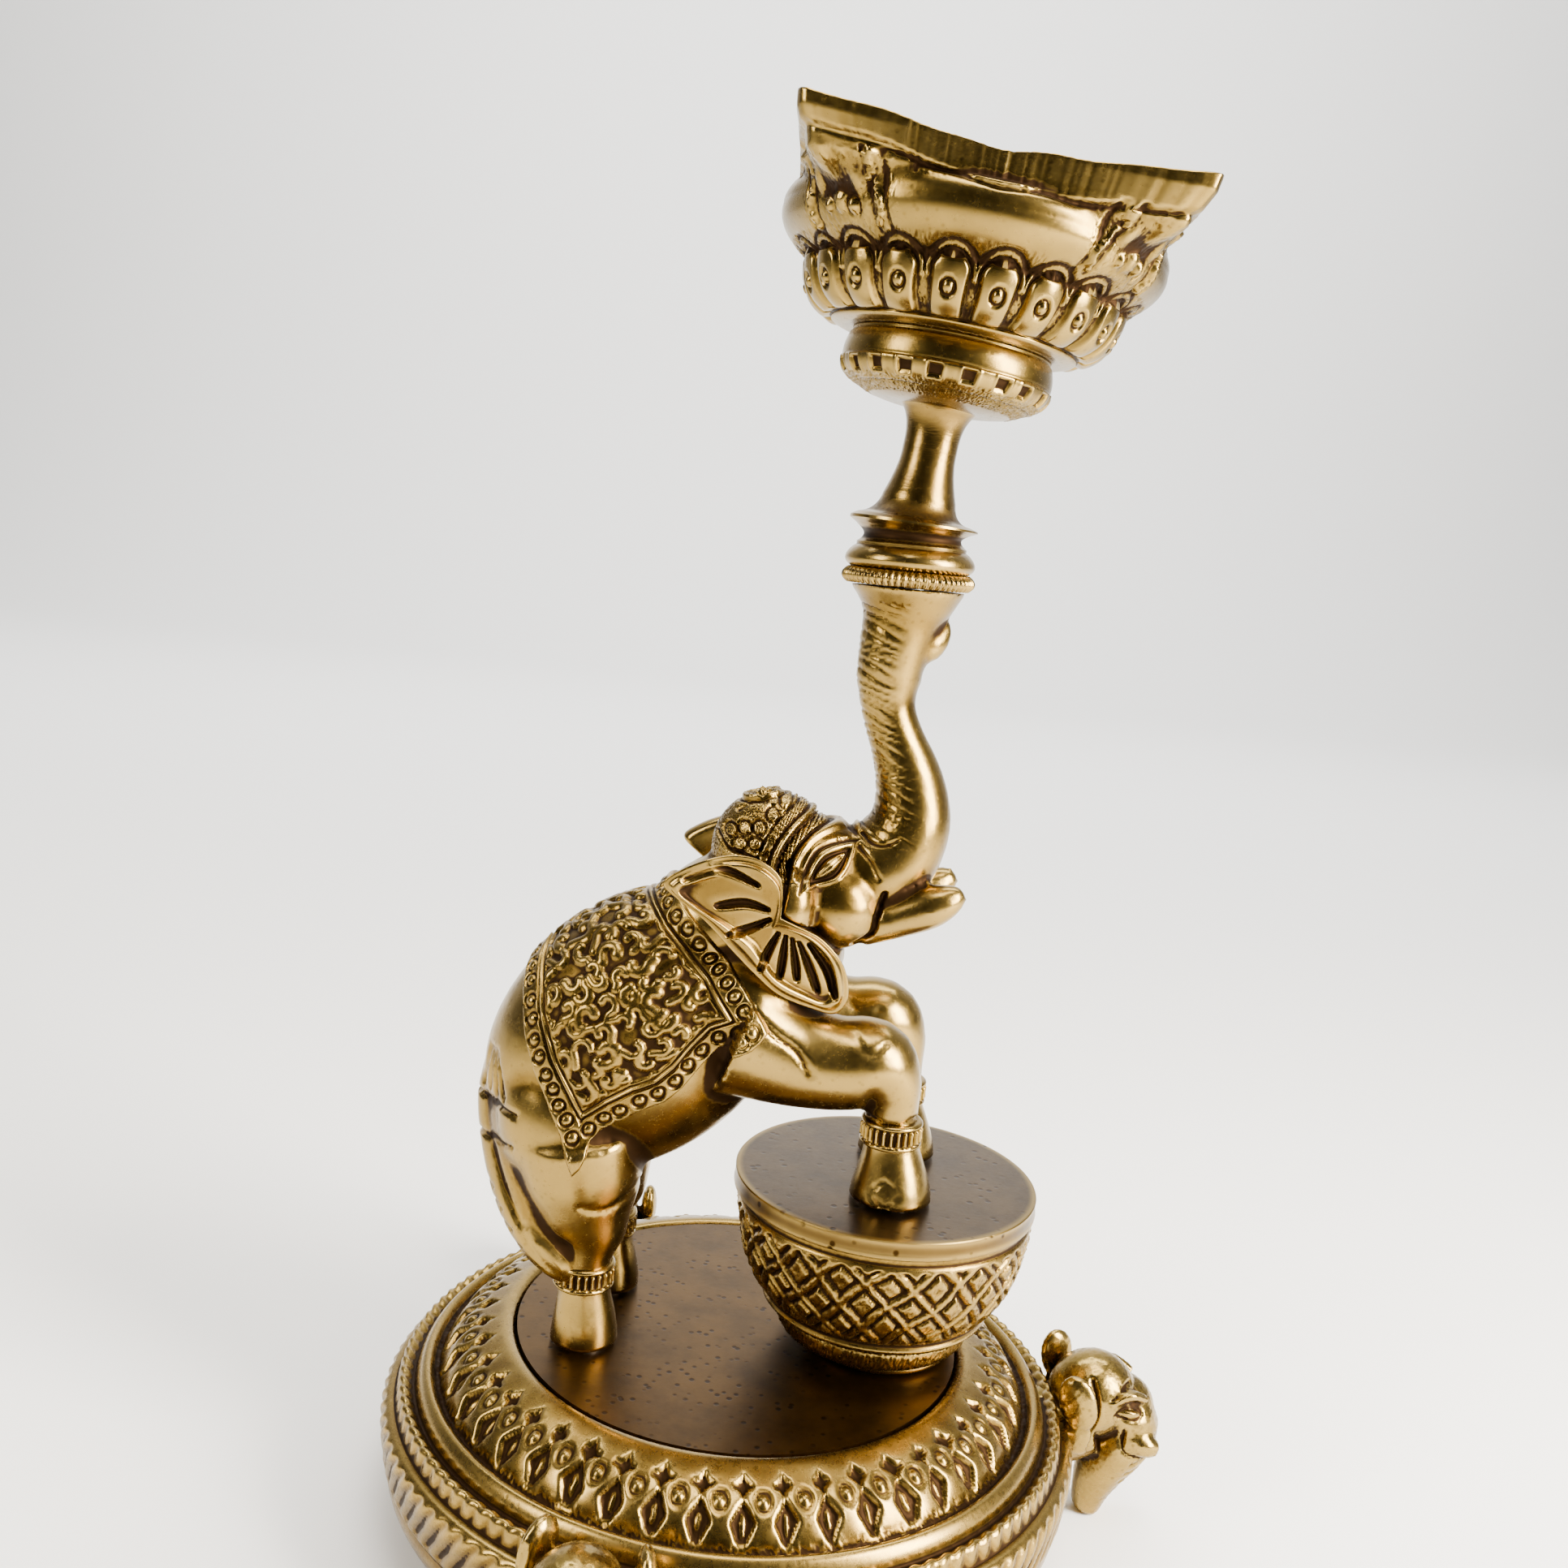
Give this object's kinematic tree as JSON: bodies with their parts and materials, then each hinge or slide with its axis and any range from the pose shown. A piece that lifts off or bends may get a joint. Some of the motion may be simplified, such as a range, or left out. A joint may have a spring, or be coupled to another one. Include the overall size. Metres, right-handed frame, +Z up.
{
  "type": "elephant diya oil lamp",
  "caption": "Brass oil lamp: an elephant rears up on a round footed base with its fore feet on a drum and holds a square-cornered oil bowl on its raised trunk.",
  "frame": {"origin": "on the floor, under the middle of the lamp's box", "axes": "+Z up; the elephant faces +X; +Y is the elephant's left"},
  "size_m": [0.1439, 0.1519, 0.2399],
  "materials": {
    "cast_brass_base": "antique cast brass, polished on the high parts with dark patina in the hollows",
    "cast_brass_bowl": "antique cast brass, polished on the high parts with dark patina in the hollows",
    "cast_brass_elephant": "antique cast brass, polished on the high parts with dark patina in the hollows",
    "cast_brass_feet": "antique cast brass, polished on the high parts with dark patina in the hollows",
    "cast_brass_pedestal": "antique cast brass, polished on the high parts with dark patina in the hollows",
    "steel_screws": "zinc-plated steel",
    "turned_brass_deck": "antique brass, turned and brushed",
    "turned_brass_plate": "antique brass, turned and brushed",
    "turned_brass_stem": "antique brass, turned and brushed"
  },
  "bodies": {
    "lamp": {"base_shell": "cast_brass_base", "deck_plate": "turned_brass_deck", "base_foot_screws": "steel_screws", "pedestal_foot": "cast_brass_pedestal", "pedestal_drum": "cast_brass_pedestal", "pedestal_top_plate": "turned_brass_plate", "pedestal_bolt": "steel_screws", "pedestal_washer": "steel_screws", "pedestal_nut": "steel_screws", "elephant": "cast_brass_elephant", "hind_foot_bolts": "steel_screws", "hind_foot_washers": "steel_screws", "hind_foot_spacers": "steel_screws", "fore_foot_bolts": "steel_screws", "fore_foot_washers": "steel_screws", "fore_foot_spacers": "steel_screws", "base_foot_front": "cast_brass_feet", "base_foot_left": "cast_brass_feet", "base_foot_right": "cast_brass_feet"},
    "stud": {"stem_stud": "steel_screws"},
    "oil_bowl": {"knurled_ring": "turned_brass_stem", "stem": "turned_brass_stem", "bowl_collar": "cast_brass_bowl", "bowl": "cast_brass_bowl", "bowl_nut": "turned_brass_stem"}
  },
  "joints": [
    {"name": "stud_lift", "type": "slide", "parent": "lamp", "child": "stud", "axis": [0, 0, 1], "range_m": [0, 0.01]},
    {"name": "bowl_unscrew", "type": "hinge", "parent": "stud", "child": "oil_bowl", "pos_m": [0.0077, 0.0025, 0.173], "axis": [0, 0, 1], "range_deg": [0, 2400]}
  ],
  "couplings": [
    {"joint": "stud_lift", "follows": "bowl_unscrew", "m_per_rad": 0.00023873}
  ]
}
